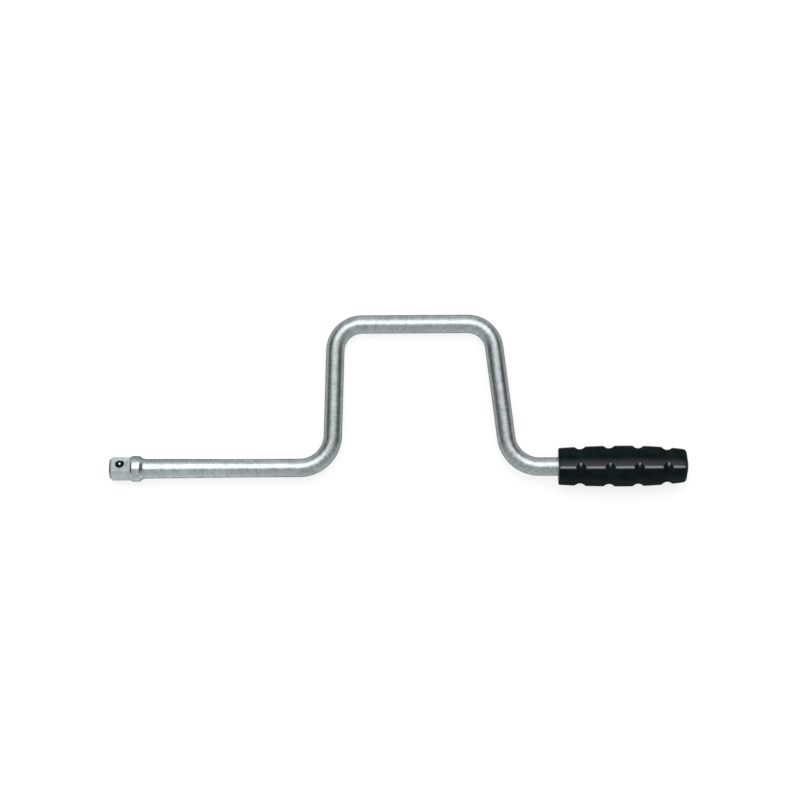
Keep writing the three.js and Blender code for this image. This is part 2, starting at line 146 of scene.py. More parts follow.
class Board:
    """The node tree of one finish."""

    def __init__(self, tree: bpy.types.NodeTree) -> None:
        """Starts with an empty tree."""
        self.tree = tree
        tree.nodes.clear()

    def node(
        self,
        kind: str,
        settings: Mapping[str, Any] | None = None,
        sockets: Mapping[str | int, Any] | None = None,
        output: str | int = 0,
    ) -> Signal:
        """Adds a node.

        Args:
            kind: The node's type.
            settings: Its properties, set before its sockets.
            sockets: Values or signals for its inputs, by name or number.
            output: The output that is handed back.

        Returns:
            The chosen output as a signal.
        """
        made = self.tree.nodes.new(kind)
        for key, value in (settings or {}).items():
            setattr(made, key, value)
        for key, value in (sockets or {}).items():
            if isinstance(value, Signal):
                self.tree.links.new(value.socket, made.inputs[key])
            else:
                made.inputs[key].default_value = value
        return Signal(self, made.outputs[output]) if made.outputs else Signal(self, made.inputs[0])

    def math(self, operation: str, first: Signal | float, second: Signal | float = 0.0) -> Signal:
        """Adds a Math node on values or signals."""
        return self.node("ShaderNodeMath", {"operation": operation}, {0: first, 1: second})

    def vector(self, operation: str, output: str, first: Any, second: Any) -> Signal:
        """Adds a Vector Math node on vectors or signals, and hands back its named output."""
        return self.node("ShaderNodeVectorMath", {"operation": operation}, {0: first, 1: second}, output)

    def polar(self, place: Signal, centre: Triple, axis: Triple) -> tuple[Signal, Signal]:
        """Measures a place from an axis.

        Args:
            place: The place.
            centre: A point on the axis.
            axis: The axis's direction, of length 1.

        Returns:
            The place's height over the centre, and its distance from the axis.
        """
        offset = self.vector("SUBTRACT", "Vector", place, centre)
        height = self.vector("DOT_PRODUCT", "Value", offset, axis)
        sideways = self.vector("CROSS_PRODUCT", "Vector", offset, axis)
        return height, self.node("ShaderNodeVectorMath", {"operation": "LENGTH"}, {0: sideways}, "Value")

    def blend(self, share: Signal, first: Signal | Colour, second: Signal | Colour) -> Signal:
        """Mixes two colours: the share, from 0 to 1, says how much of the second one shows."""
        return self.node("ShaderNodeMix", {"data_type": "RGBA"}, {0: share, 6: first, 7: second}, 2)

    def fade(self, value: Signal, start: float, end: float, low: float = 0.0, high: float = 1.0) -> Signal:
        """Fades smoothly from a low level, while the value is at its start, to a high one at its end."""
        sockets = {"Value": value, "From Min": start, "From Max": end, "To Min": low, "To Max": high}
        return self.node("ShaderNodeMapRange", {"interpolation_type": "SMOOTHSTEP"}, sockets)

    def noise(self, place: Signal, grain: Triple, detail: float = 2.0, roughness: float = 0.5) -> Signal:
        """Adds soft noise from 0 to 1.

        Args:
            place: Where the pattern is read.
            grain: Size of one blot along each axis, in metres.
            detail: Number of finer layers.
            roughness: Weight of the finer layers.

        Returns:
            The noise as a signal.
        """
        scale = tuple(1.0 / size for size in grain)
        spread = self.node("ShaderNodeMapping", {}, {"Vector": place, "Scale": scale})
        sockets = {"Vector": spread, "Scale": 1.0, "Detail": detail, "Roughness": roughness}
        return self.node("ShaderNodeTexNoise", {}, sockets)

    def relief(self, height: Signal, depth: float) -> Signal:
        """Turns a height from 0 to 1 into a bumped normal, with the relief's depth in metres."""
        return self.node("ShaderNodeBump", {}, {"Strength": 1.0, "Distance": depth, "Height": height})

    def surface(self, sockets: Mapping[str, Any]) -> None:
        """Adds the surface shader, with values or signals for its inputs, and the output."""
        shader = self.node("ShaderNodeBsdfPrincipled", {}, sockets)
        self.node("ShaderNodeOutputMaterial", {}, {"Surface": shader})


@dataclass(frozen=True)
class Finish:
    """What all finishes of the brace have."""

    name: str

    def paint(self, board: Board) -> None:
        """Puts the finish's nodes on its board."""
        raise NotImplementedError

    def material(self) -> bpy.types.Material:
        """Makes the finish's material, or takes it where it is already made."""
        made = bpy.data.materials.get(self.name)
        if made is None:
            made = bpy.data.materials.new(self.name)
            made.use_nodes = True
            self.paint(Board(made.node_tree))
        return made


@dataclass(frozen=True, kw_only=True)
class SatinChrome(Finish):
    """Satin chrome on forged and drawn steel, with its grain laid along the unbent bar."""

    pocket_at: Triple
    pocket_axis: Triple
    name: str = "satin_chrome"
    bright: Colour = (0.595, 0.65, 0.655, 1.0)
    dull: Colour = (0.37, 0.412, 0.416, 1.0)
    # Colour of the painted shade in the dish round the detent ball
    dish_shade: Colour = (0.012, 0.014, 0.014, 1.0)
    grazing: Colour = (0.17, 0.185, 0.185, 1.0)
    cloud: float = 7.0 * MM
    grain: float = 1.3 * MM
    grain_bite: float = 0.6
    streak: Triple = (1.3 * MM, 5.0 * MM, 5.0 * MM)
    mottle_mix: Triple = (0.25, 0.40, 0.35)
    mottle_reach: Span = (0.36, 0.64)
    roughness: float = 0.33
    head_roughness: float = 0.48
    head_reach: Span = (16.2 * MM, 16.6 * MM)
    crank_roughness: float = 0.385
    crank_tint: float = 0.80
    crank_reach: Span = (60.0 * MM, 160.0 * MM)
    # Painted shade on the square's end bevel
    end_shade: float = 0.55
    end_shade_reach: Span = (0.9 * MM, 1.7 * MM)
    grain_roughness: float = 0.16
    streak_roughness: float = 0.10
    dish_shade_roughness: float = 0.25
    relief_mix: Span = (0.6, 0.4)
    relief_depth: float = 0.010 * MM
    pocket_reach: Span = (3.1 * MM, 3.9 * MM)
    pocket_ragged: float = 1.4 * MM
    pocket_depth: float = 1.0 * MM

    def pocket_shade(self, board: Board, place: Signal, ragged: Signal) -> Signal:
        """Painted shade in the dish round the detent ball.

        Args:
            board: The finish's board.
            place: Object coordinates.
            ragged: Noise that breaks the painted shade's edge.

        Returns:
            The share of painted shade, from 0 to 1.
        """
        height, radius = board.polar(place, self.pocket_at, self.pocket_axis)
        ring = board.fade(radius + self.pocket_ragged * (ragged - MIDDLE), *self.pocket_reach, 1.0, 0.0)
        return ring * board.fade(height, 0.0, self.pocket_depth)

    def paint(self, board: Board) -> None:
        """Puts clouds, grain and fine cross streaks on the steel, tones its head and crank, and paints shade
        on the square's end bevel and in the dish round the ball.
        """
        unbent = board.node("ShaderNodeAttribute", {"attribute_name": "unbent"}, {}, "Vector")
        place = board.node("ShaderNodeTexCoord", {}, {}, "Object")
        clouds = board.noise(unbent, (self.cloud,) * 3, detail=3.0)
        grain = board.noise(unbent, (self.grain,) * 3, roughness=self.grain_bite)
        streaks = board.noise(unbent, self.streak)
        # Painted shade: the dish round the detent ball is darkened, with a ragged edge
        dish_shade = self.pocket_shade(board, place, grain)
        cloud_share, grain_share, streak_share = self.mottle_mix
        mottle = cloud_share * clouds + grain_share * grain + streak_share * streaks
        steel = board.blend(board.fade(mottle, *self.mottle_reach), self.dull, self.bright)
        across = board.node("ShaderNodeSeparateXYZ", {}, {"Vector": place}, "X")
        along = board.node("ShaderNodeSeparateXYZ", {}, {"Vector": unbent}, "X")
        bent = board.fade(along, *self.crank_reach)
        # Painted shade: the square's end bevel is darkened, standing in for the dark room that it reflects
        tint = (1.0 - (1.0 - self.crank_tint) * bent) * board.fade(across, *self.end_shade_reach, self.end_shade)
        toned = board.vector("MULTIPLY", "Vector", steel, tint)
        straight = board.fade(across, *self.head_reach, self.head_roughness, self.roughness)
        level = straight + (self.crank_roughness - self.roughness) * bent
        uneven = self.grain_roughness * (grain - MIDDLE) + self.streak_roughness * (streaks - MIDDLE)
        grain_height, streak_height = self.relief_mix
        board.surface(
            {
                "Base Color": board.blend(dish_shade, toned, self.dish_shade),
                "Metallic": 1.0,
                "Roughness": level + uneven + self.dish_shade_roughness * dish_shade,
                "Specular Tint": self.grazing,
                "Normal": board.relief(grain_height * grain + streak_height * streaks, self.relief_depth),
            }
        )


@dataclass(frozen=True)
class PlainMetal(Finish):
    """A metal with a fine grain."""

    bright: Colour
    dull: Colour
    roughness: float
    spread: float
    grain: float
    grain_reach: Span = (0.35, 0.65)
    relief_depth: float = 0.004 * MM

    def paint(self, board: Board) -> None:
        """Puts the grain into the metal's colour, gloss and relief."""
        place = board.node("ShaderNodeTexCoord", {}, {}, "Object")
        grain = board.noise(place, (self.grain,) * 3, detail=3.0)
        board.surface(
            {
                "Base Color": board.blend(board.fade(grain, *self.grain_reach), self.dull, self.bright),
                "Metallic": 1.0,
                "Roughness": self.roughness + self.spread * (grain - MIDDLE),
                "Normal": board.relief(grain, self.relief_depth),
            }
        )


SPRING_WIRE = PlainMetal(
    name="spring_wire",
    bright=(0.30, 0.31, 0.32, 1.0),
    dull=(0.20, 0.21, 0.22, 1.0),
    roughness=0.34,
    spread=0.12,
    grain=0.4 * MM,
)
ZINC_PLATING = PlainMetal(
    name="zinc_plating",
    bright=(0.44, 0.46, 0.47, 1.0),
    dull=(0.34, 0.36, 0.37, 1.0),
    roughness=0.38,
    spread=0.14,
    grain=0.8 * MM,
)
SINTERED_BRONZE = PlainMetal(
    name="sintered_bronze",
    bright=(0.42, 0.25, 0.09, 1.0),
    dull=(0.27, 0.15, 0.05, 1.0),
    roughness=0.46,
    spread=0.20,
    grain=0.25 * MM,
)


@dataclass(frozen=True, kw_only=True)
class DarkBall(Finish):
    """Dark bearing ball, with a painted highlight at its tip."""

    centre: Triple
    outward: Triple
    radius: float
    name: str = "ball_painted_highlight"
    dark: Colour = (0.030, 0.034, 0.034, 1.0)
    polish_and_highlight: Colour = (0.86, 0.88, 0.88, 1.0)
    roughness: float = 0.14
    highlight_reach: Span = (0.64 * MM, 0.96 * MM)

    def paint(self, board: Board) -> None:
        """Puts a painted highlight on the tip of the dark ball."""
        place = board.node("ShaderNodeTexCoord", {}, {}, "Object")
        height, spread = board.polar(place, self.centre, self.outward)
        # Painted highlight: a bright spot round the tip of the ball
        polish_and_highlight = board.fade(height, 0.0, self.radius / 2) * board.fade(spread, *self.highlight_reach, 1.0, 0.0)
        colour = board.blend(polish_and_highlight, self.dark, self.polish_and_highlight)
        board.surface({"Base Color": colour, "Metallic": 1.0, "Roughness": self.roughness})


@dataclass(frozen=True)
class MouldedPlastic(Finish):
    """Black moulded plastic, polished by hands where its attribute says, with a painted highlight on the
    crests of its ridges.
    """

    name: str = "black_plastic"
    fresh: Colour = (0.0030, 0.0072, 0.0072, 1.0)
    handled: Colour = (0.0070, 0.0125, 0.0125, 1.0)
    crest_highlight: Colour = (0.165, 0.183, 0.183, 1.0)
    cloud: float = 9.0 * MM
    cloud_reach: Span = (0.35, 0.70)
    grain: float = 0.7 * MM
    roughness: float = 0.22
    cloud_roughness: float = 0.10
    grain_roughness: float = 0.08
    gloss: float = 0.025
    polish_roughness: float = 0.10
    polish_index: float = 1.75
    polish_reach: Span = (0.28, 0.45)
    relief_mix: Span = (0.7, 0.3)
    relief_depth: float = 0.008 * MM

    def paint(self, board: Board) -> None:
        """Puts faint clouds, a moulded grain, polished crests with a painted highlight and polished flanks on
        the plastic.
        """
        place = board.node("ShaderNodeTexCoord", {}, {}, "Object")
        clouds = board.noise(place, (self.cloud,) * 3, detail=3.0)
        grain = board.noise(place, (self.grain,) * 3)
        handled = board.node("ShaderNodeAttribute", {"attribute_name": "handled"}, {}, "Vector")
        crest = board.node("ShaderNodeSeparateXYZ", {}, {"Vector": handled}, "X")
        flank = crest.sibling("Y")
        plain = board.blend(board.fade(clouds, *self.cloud_reach), self.fresh, self.handled)
        facing = board.node("ShaderNodeLayerWeight", {}, {}, "Facing")
        polish = board.math("MAXIMUM", crest, flank) * board.fade(facing, *self.polish_reach, 1.0, 0.0)
        uneven = self.cloud_roughness * (clouds - MIDDLE) + self.grain_roughness * (grain - MIDDLE)
        grain_height, cloud_height = self.relief_mix
        # Painted highlight: the crests of the ridges are lightened in the base colour
        board.surface(
            {
                "Base Color": board.blend(crest, plain, self.crest_highlight),
                "Roughness": self.roughness + uneven,
                "Specular IOR Level": self.gloss,
                "Coat Weight": polish,
                "Coat Roughness": self.polish_roughness,
                "Coat IOR": self.polish_index,
                "Normal": board.relief(grain_height * grain + cloud_height * clouds, self.relief_depth),
            }
        )


@dataclass(frozen=True)
class FloorPaint(Finish):
    """Matt white floor, which reads white to the camera and in gloss and keeps the soft shadow."""

    name: str = "floor_white"
    colour: Colour = (0.28, 0.28, 0.28, 1.0)
    lift: float = 0.77
    rear_reach: Span = (-0.10, -0.60)
    rear_along: Span = (60.0 * MM, 110.0 * MM)
    rear_gloss_shade: Span = (0.62, 0.18)

    def paint(self, board: Board) -> None:
        """Adds a lift of white to what the lamps give, held back in gloss that looks to the rear."""
        camera = board.node("ShaderNodeLightPath", {}, {}, "Is Camera Ray")
        place = board.node("ShaderNodeTexCoord", {}, {}, "Object")
        along = board.node("ShaderNodeSeparateXYZ", {}, {"Vector": place}, "X")
        # Incoming points back along the ray, so its Y is negative where gloss looks to the rear
        back = board.node("ShaderNodeNewGeometry", {}, {}, "Incoming")
        onward = board.node("ShaderNodeSeparateXYZ", {}, {"Vector": back}, "Y")
        # Painted shade in reflections: where gloss looks to the rear the floor reads darker, most near the
        # drive head
        gloss_shade = board.fade(onward, *self.rear_reach) * board.fade(along, *self.rear_along, *self.rear_gloss_shade)
        gloss = camera.sibling("Is Glossy Ray") * (1.0 - gloss_shade)
        seen = board.math("MINIMUM", camera + gloss, 1.0)
        matt = board.node("ShaderNodeBsdfDiffuse", {}, {"Color": self.colour})
        glow = board.node("ShaderNodeEmission", {}, {"Color": WHITE, "Strength": self.lift * seen})
        both = board.node("ShaderNodeAddShader", {}, {0: matt, 1: glow})
        board.node("ShaderNodeOutputMaterial", {}, {"Surface": both})


def clamp(value: float) -> float:
    """Holds a share between 0 and 1."""
    return min(max(value, 0.0), 1.0)


def clear_bench() -> None:
    """Leaves edit mode and lets go of everything that is selected."""
    if bpy.context.mode != "OBJECT":
        bpy.ops.object.mode_set(mode="OBJECT")
    bpy.ops.object.select_all(action="DESELECT")


class Workpiece:
    """A mesh on the bench, shaped with hand operators."""

    def __init__(self, name: str) -> None:
        """Takes up the primitive that was just added, and puts its place into its mesh."""
        self.obj = bpy.context.object
        self.obj.name = name
        self.obj.data.name = name
        self.settle()

    @classmethod
    def ring(cls, name: str, along: float, radius: float, sides: int) -> "Workpiece":
        """Starts from a ring of edges round the X axis.

        Args:
            name: The piece's name.
            along: Place of the ring on the X axis.
            radius: Radius of the ring.
            sides: Number of its edges.

        Returns:
            The new workpiece.
        """
        clear_bench()
        bpy.ops.mesh.primitive_circle_add(
            vertices=sides, radius=radius, location=(along, 0.0, 0.0), rotation=(0.0, QUARTER, 0.0)
        )
        return cls(name)

    @classmethod
    def turned(cls, name: str, stations: Sequence[Station], sides: int, looped: bool = False) -> "Workpiece":
        """Turns a shape about the X axis, by drawing a ring out from station to station.

        Args:
            name: The piece's name.
            stations: Places along the axis with their radii; a radius of 0 ends in a point.
            sides: Number of facets round the axis.
            looped: True where the last station runs back into the first, as in a washer.

        Returns:
            The closed workpiece.
        """
        work = cls.ring(name, *stations[0], sides)
        with work.edit():
            work.draw_profile(stations)
            if not looped:
                if stations[-1][1] > 0.0:
                    bpy.ops.mesh.edge_face_add()
                work.pick_ring(*stations[0])
                bpy.ops.mesh.edge_face_add()
            work.weld()
        return work

    @contextmanager
    def edit(self) -> Iterator[None]:
        """Opens the piece alone in edit mode, and closes it again."""
        self.take_up()
        bpy.ops.object.mode_set(mode="EDIT")
        bpy.ops.mesh.select_mode(type="VERT")
        bpy.ops.mesh.select_all(action="SELECT")
        yield
        bpy.ops.object.mode_set(mode="OBJECT")

    def take_up(self) -> None:
        """Selects this piece alone and makes it the active one."""
        clear_bench()
        self.obj.select_set(True)
        bpy.context.view_layer.objects.active = self.obj

    def settle(self) -> None:
        """Puts the object's place and turn into its mesh."""
        self.take_up()
        bpy.ops.object.transform_apply(location=True, rotation=True, scale=True)

    def place(self, matrix: Matrix) -> None:
        """Moves the piece by a matrix and settles it there."""
        self.obj.matrix_world = matrix
        self.settle()

    def pick(self, wanted: Callable[[Vector], bool]) -> None:
        """Selects the vertices at wanted places, with the edges and faces between them.

        Args:
            wanted: Says of a place whether it is wanted.
        """
        bpy.ops.mesh.select_all(action="DESELECT")
        mesh = bmesh.from_edit_mesh(self.obj.data)
        for vertex in mesh.verts:
            vertex.select_set(wanted(vertex.co))
        mesh.select_flush(True)
        bmesh.update_edit_mesh(self.obj.data)

    def pick_ring(self, along: float, radius: float) -> None:
        """Selects the ring at a place along the X axis with a given radius."""
        self.pick(lambda p: abs(p.x - along) < NEAR and abs(math.hypot(p.y, p.z) - radius) < NEAR)

    def draw_out(self, step: Vector) -> None:
        """Extrudes the selected ring by a step."""
        bpy.ops.mesh.extrude_region_move(TRANSFORM_OT_translate={"value": step})

    def swell(self, along: float, factor: float) -> None:
        """Scales the selected ring about its centre on the X axis."""
        bpy.ops.transform.resize(value=(1.0, factor, factor), center_override=(along, 0.0, 0.0))

    def draw_profile(self, stations: Sequence[Station]) -> None:
        """Draws the selected ring out from the first station to the last.

        Args:
            stations: Places along the X axis with their radii; a radius of 0 ends in a point.
        """
        for (start, before), (along, radius) in zip(stations, stations[1:]):
            self.draw_out(Vector((along - start, 0.0, 0.0)))
            if radius == 0.0:
                bpy.ops.mesh.merge(type="CENTER")
            elif radius != before:
                self.swell(along, radius / before)

    def weld(self) -> None:
        """Merges doubles and turns all faces outwards."""
        bpy.ops.mesh.select_all(action="SELECT")
        bpy.ops.mesh.remove_doubles(threshold=WELD)
        bpy.ops.mesh.normals_make_consistent(inside=False)

    def apply(self, kind: str, **settings: Any) -> None:
        """Adds a modifier and applies it.

        Args:
            kind: The modifier's type.
            settings: Its properties.
        """
        self.take_up()
        modifier = self.obj.modifiers.new(kind.lower(), kind)
        for key, value in settings.items():
            setattr(modifier, key, value)
        bpy.ops.object.modifier_apply(modifier=modifier.name)

    def fit(self, other: "Workpiece", how: Fit) -> None:
        """Cuts, joins or intersects with another shape, which is used up."""
        self.apply("BOOLEAN", object=other.obj, operation=how.value, solver="EXACT")
        bpy.data.meshes.remove(other.obj.data)

    def soften(self, width: float) -> None:
        """Breaks the sharp edges with a small round of the given width."""
        self.apply("BEVEL", width=width, segments=SOFT_STEPS, limit_method="ANGLE", angle_limit=SOFT_ANGLE)

    def shade(self, angle: float = CRISP_ANGLE) -> None:
        """Shades the piece smooth, apart from edges sharper than an angle."""
        self.take_up()
        bpy.ops.object.shade_smooth_by_angle(angle=angle)

    def finish(self, body: Body, slot: Slot, coat: Finish, *nodes: str) -> None:
        """Gives the piece its finish and its place on the frame.

        Args:
            body: The body that it moves with.
            slot: The record's material slot; not used.
            coat: The finish.
            nodes: The solids that it stands for.
        """
        self.obj.data.materials.clear()
        self.obj.data.materials.append(coat.material())
        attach(self.obj, body.value)
        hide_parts(*nodes)
        LOG.info("%s: %d faces, %s, on %s", self.obj.name, len(self.obj.data.polygons), coat.name, body.value)


@dataclass
class Detent:
    """Sprung ball in one flat of the drive square, with its pocket."""

    from_end: float = 8.0 * MM
    turn: float = math.radians(38.0)
    flat: float = 6.35 * MM
    ball_radius: float = 2.5 * MM
    hole_depth: float = 8.4 * MM
    hole_clearance: float = 0.15 * MM
    throat_lip: float = 0.1 * MM
    throat_length: float = 0.25 * MM
    dish_depth: float = 0.35 * MM
    dish_width: float = 1.1 * MM
    wire: float = 0.6 * MM
    pitch: float = 1.1 * MM
    side_clearance: float = 0.25 * MM
    gap: float = 0.1 * MM
    press: float = 0.9 * MM
    ball_cuts: int = 11
    sides: int = 64
    wire_sides: int = 12
    steps_per_turn: int = 28

    @property
    def outward(self) -> Vector:
        """Direction in which the ball's flat faces."""
        return Vector((0.0, math.sin(self.turn), math.cos(self.turn)))

    @property
    def seat(self) -> Matrix:
        """Matrix that stands a shape from the X axis on the flat's outward direction."""
        turn = ALONG.rotation_difference(self.outward).to_matrix().to_4x4()
        return Matrix.Translation((self.from_end, 0.0, 0.0)) @ turn

    @property
    def ball_height(self) -> float:
        """Height of the ball's centre over the drive axis, just clear of its throat."""
        contact = self.ball_radius - self.throat_lip - self.gap
        depth = self.dish_depth + self.throat_length + math.sqrt(self.ball_radius**2 - contact**2)
        return self.flat - depth

    @property
    def coil_radius(self) -> float:
        """Radius of the spring's coil at the middle of its wire."""
        return self.ball_radius + self.hole_clearance - self.side_clearance - self.wire / 2

    def pocket(self) -> Workpiece:
        """Models the dish, throat and blind hole that the ball and its spring sit in."""
        hole = self.ball_radius + self.hole_clearance
        throat = self.ball_radius - self.throat_lip
        throat_top = self.flat - self.dish_depth
        dish = throat + self.dish_width
        stations = [
            (self.flat - self.hole_depth, hole),
            (throat_top - self.throat_length, hole),
            (throat_top - self.throat_length, throat),
            (throat_top, throat),
            (self.flat, dish),
            (self.flat + self.dish_width, dish),
        ]
        work = Workpiece.turned("detent_pocket", stations, self.sides)
        work.place(self.seat)
        return work

    def build_ball(self) -> None:
        """Models the ball from a divided cube drawn to a sphere."""
        clear_bench()
        bpy.ops.mesh.primitive_cube_add(size=self.ball_radius)
        work = Workpiece("detent_ball_steel")
        with work.edit():
            bpy.ops.mesh.subdivide(number_cuts=self.ball_cuts)
            bpy.ops.transform.tosphere(value=1.0)
        radius = work.obj.data.vertices[0].co.length
        grow = self.ball_radius / radius
        work.place(self.seat @ Matrix.Translation((self.ball_height, 0.0, 0.0)) @ Matrix.Scale(grow, 4))
        work.shade()
        centre = self.seat @ Vector((self.ball_height, 0.0, 0.0))
        steel = DarkBall(centre=tuple(centre), outward=tuple(self.outward), radius=self.ball_radius)
        work.finish(Body.BALL, Slot.BALL_STEEL, steel, "detent_ball")

    def build_spring(self) -> None:
        """Models the coil spring under the ball; the share of its length that stays when the ball is pressed
        in is worked out, but not used.
        """
        base = self.flat - self.hole_depth + self.wire / 2 + self.gap
        reach = self.ball_radius + self.wire / 2 + self.gap
        top = self.ball_height - math.sqrt(reach**2 - self.coil_radius**2)
        turns = (top - base) / self.pitch
        clear_bench()
        bpy.ops.mesh.primitive_circle_add(
            vertices=self.wire_sides, radius=self.wire / 2, location=(self.coil_radius, 0.0, 0.0),
            rotation=(QUARTER, 0.0, 0.0),
        )
        work = Workpiece("detent_spring_wire")
        steps = round(turns * self.steps_per_turn)
        work.apply(
            "SCREW", angle=turns * 2 * math.pi, screw_offset=top - base, steps=steps, render_steps=steps,
            use_smooth_shade=True,
        )
        with work.edit():
            bpy.ops.mesh.fill_holes(sides=0)
            work.weld()
        upright = Matrix.Translation((base, 0.0, 0.0)) @ Matrix.Rotation(QUARTER, 4, "Y")
        work.place(self.seat @ upright)
        work.shade()
        work.finish(Body.CRANK, Slot.SPRING_STEEL, SPRING_WIRE, "detent_spring")
        height = top - base + self.wire
        foot = self.seat @ Vector((base - self.wire / 2, 0.0, 0.0))
        keep = 1.0 - self.press / height
        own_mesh(work.obj)


@dataclass
class Turn:
    """One bend of the bar, or the straight before it, with its length along the bar."""

    start: Vector
    heading: Vector
    length: float
    angle: float = 0.0
    radius: float = 0.0
    along: float = 0.0

    @property
    def side(self) -> Vector:
        """Direction to the left of the heading, in the crank's plane."""
        return Vector((-self.heading.y, self.heading.x, 0.0))

    @property
    def centre(self) -> Vector:
        """Centre of the bend."""
        return self.start + self.side * math.copysign(self.radius, self.angle)

    def unbend(self, place: Vector) -> Triple:
        """Finds a place on the straightened bar.

        Args:
            place: A point on or near the bar.

        Returns:
            Its distance from the centreline, its length along the bar and its offset to the left.
        """
        flat = Vector((place.x, place.y, 0.0))
        if self.angle == 0.0:
            offset = flat - self.start
            along = min(max(offset.dot(self.heading), 0.0), self.length)
            return (offset - self.heading * along).length, self.along + along, offset.dot(self.side)
        arm = flat - self.centre
        first = self.start - self.centre
        swept = math.atan2(first.x * arm.y - first.y * arm.x, first.x * arm.x + first.y * arm.y)
        share = swept / self.angle
        if not 0.0 <= share <= 1.0:
            return math.inf, 0.0, 0.0
        side = math.copysign(1.0, self.angle) * (self.radius - arm.length)
        return abs(side), self.along + share * self.length, side


@dataclass
class CrankBar:
    """The bent bar with its forged head, its drive square and the journal inside the grip."""

    detent: Detent
    square_across: float = 12.7 * MM
    square_length: float = 16.0 * MM
    bevel_length: float = 1.4 * MM
    bevel_depth: float = 0.9 * MM
    corner_radius: float = 8.95 * MM
    corner_end_radius: float = 6.7 * MM
    corner_taper: float = 2.3 * MM
    collar_radius: float = 9.75 * MM
    collar_length: float = 7.0 * MM
    collar_chamfer: Station = (1.5 * MM, 0.95 * MM)
    collar_hold: float = 0.4 * MM
    neck_length: float = 4.2 * MM
    shank_radius: float = 7.45 * MM
    shank_length: float = 72.0 * MM
    bar_radius: float = 7.0 * MM
    shank_reach: float = 169.0 * MM
    near_leg_lean: float = 3.7 * MM
    crown_length: float = 117.9 * MM
    far_leg_lean: float = 13.8 * MM
    throw: float = 108.8 * MM
    foot_bend: float = 25.5 * MM
    crown_bend: float = 20.5 * MM
    shoulder: float = 347.0 * MM
    journal_radius: float = 4.5 * MM
    clip_groove: Station = (426.0 * MM, 427.0 * MM)
    clip_groove_radius: float = 3.2 * MM
    journal_end: float = 429.1 * MM
    journal_chamfer: float = 0.6 * MM
    edge: float = 0.18 * MM
    sides: int = 72
    bend_steps: int = 24
    neck_steps: int = 7
    route: list[Turn] = field(default_factory=list)

    def __post_init__(self) -> None:
        """Lays out the straights and bends of the bar."""
        near = self.shank_reach + self.near_leg_lean
        far = near + self.crown_length
        corners = [
            Vector((self.shank_reach, 0.0, 0.0)),
            Vector((near, self.throw, 0.0)),
            Vector((far, self.throw, 0.0)),
            Vector((far + self.far_leg_lean, 0.0, 0.0)),
        ]
        stops = [Vector(), *corners, Vector((self.shoulder, 0.0, 0.0))]
        tip = stops[0]
        radii = (self.foot_bend, self.crown_bend, self.crown_bend, self.foot_bend)
        for before, corner, after, radius in zip(stops, corners, stops[2:], radii):
            heading = (corner - before).normalized()
            onward = (after - corner).normalized()
            angle = math.atan2(heading.cross(onward).z, heading.dot(onward))
            tangent = radius * math.tan(abs(angle) / 2)
            start = corner - heading * tangent
            self.add_turn(Turn(tip, heading, (start - tip).length))
            self.add_turn(Turn(start, heading, abs(angle) * radius, angle, radius))
            tip = corner + onward * tangent
        self.add_turn(Turn(tip, ALONG.copy(), (stops[-1] - tip).length))

    def add_turn(self, turn: Turn) -> None:
        """Adds a straight or a bend to the end of the route."""
        if self.route:
            turn.along = self.route[-1].along + self.route[-1].length
        self.route.append(turn)

    def head_stations(self) -> list[Station]:
        """Gives the head's profile: chamfered collar, curved neck and tapered shank."""
        collar_end = self.square_length + self.collar_length
        drop = self.collar_radius - self.shank_radius
        chamfer_length, chamfer_depth = self.collar_chamfer
        stations = [
            (self.square_length, self.collar_radius - chamfer_depth),
            (self.square_length + chamfer_length, self.collar_radius),
            (self.square_length + chamfer_length + self.collar_hold, self.collar_radius),
            (collar_end - self.collar_hold, self.collar_radius),
            (collar_end, self.collar_radius),
        ]
        # The neck leaves the collar at 45 degrees and runs out along the shank
        for step in range(1, self.neck_steps + 1):
            share = step / self.neck_steps
            along = 2 * share * (1 - share) * drop + share**2 * self.neck_length
            stations.append((collar_end + along, self.collar_radius - drop * (1 - (1 - share) ** 2)))
        stations.append((stations[-1][0] + self.shank_length, self.bar_radius))
        return stations

    def journal_stations(self) -> list[Station]:
        """Gives the journal's profile, from the shoulder to its chamfered tip."""
        groove_start, groove_end = self.clip_groove
        return [
            (self.shoulder, self.bar_radius),
            (self.shoulder, self.journal_radius),
            (groove_start, self.journal_radius),
            (groove_start, self.clip_groove_radius),
            (groove_end, self.clip_groove_radius),
            (groove_end, self.journal_radius),
            (self.journal_end - self.journal_chamfer, self.journal_radius),
            (self.journal_end, self.journal_radius - self.journal_chamfer),
        ]

    def build_bar(self) -> Workpiece:
        """Draws the bar out from the collar, round the bends of the crank and down to the journal."""
        head = self.head_stations()
        work = Workpiece.ring("crank_bar_steel", *head[0], self.sides)
        with work.edit():
            work.draw_profile(head)
            tip = Vector((head[-1][0], 0.0, 0.0))
            for turn in self.route:
                if turn.angle == 0.0:
                    end = turn.start + turn.heading * turn.length
                    work.draw_out(end - tip)
                    tip = end
                else:
                    bpy.ops.mesh.spin(
                        steps=self.bend_steps, angle=-turn.angle, center=turn.centre, axis=(0.0, 0.0, 1.0)
                    )
                    tip = turn.centre + Matrix.Rotation(turn.angle, 3, "Z") @ (turn.start - turn.centre)
            work.draw_profile(self.journal_stations())
            bpy.ops.mesh.edge_face_add()
            work.pick_ring(*head[0])
            bpy.ops.mesh.edge_face_add()
            work.weld()
        return work

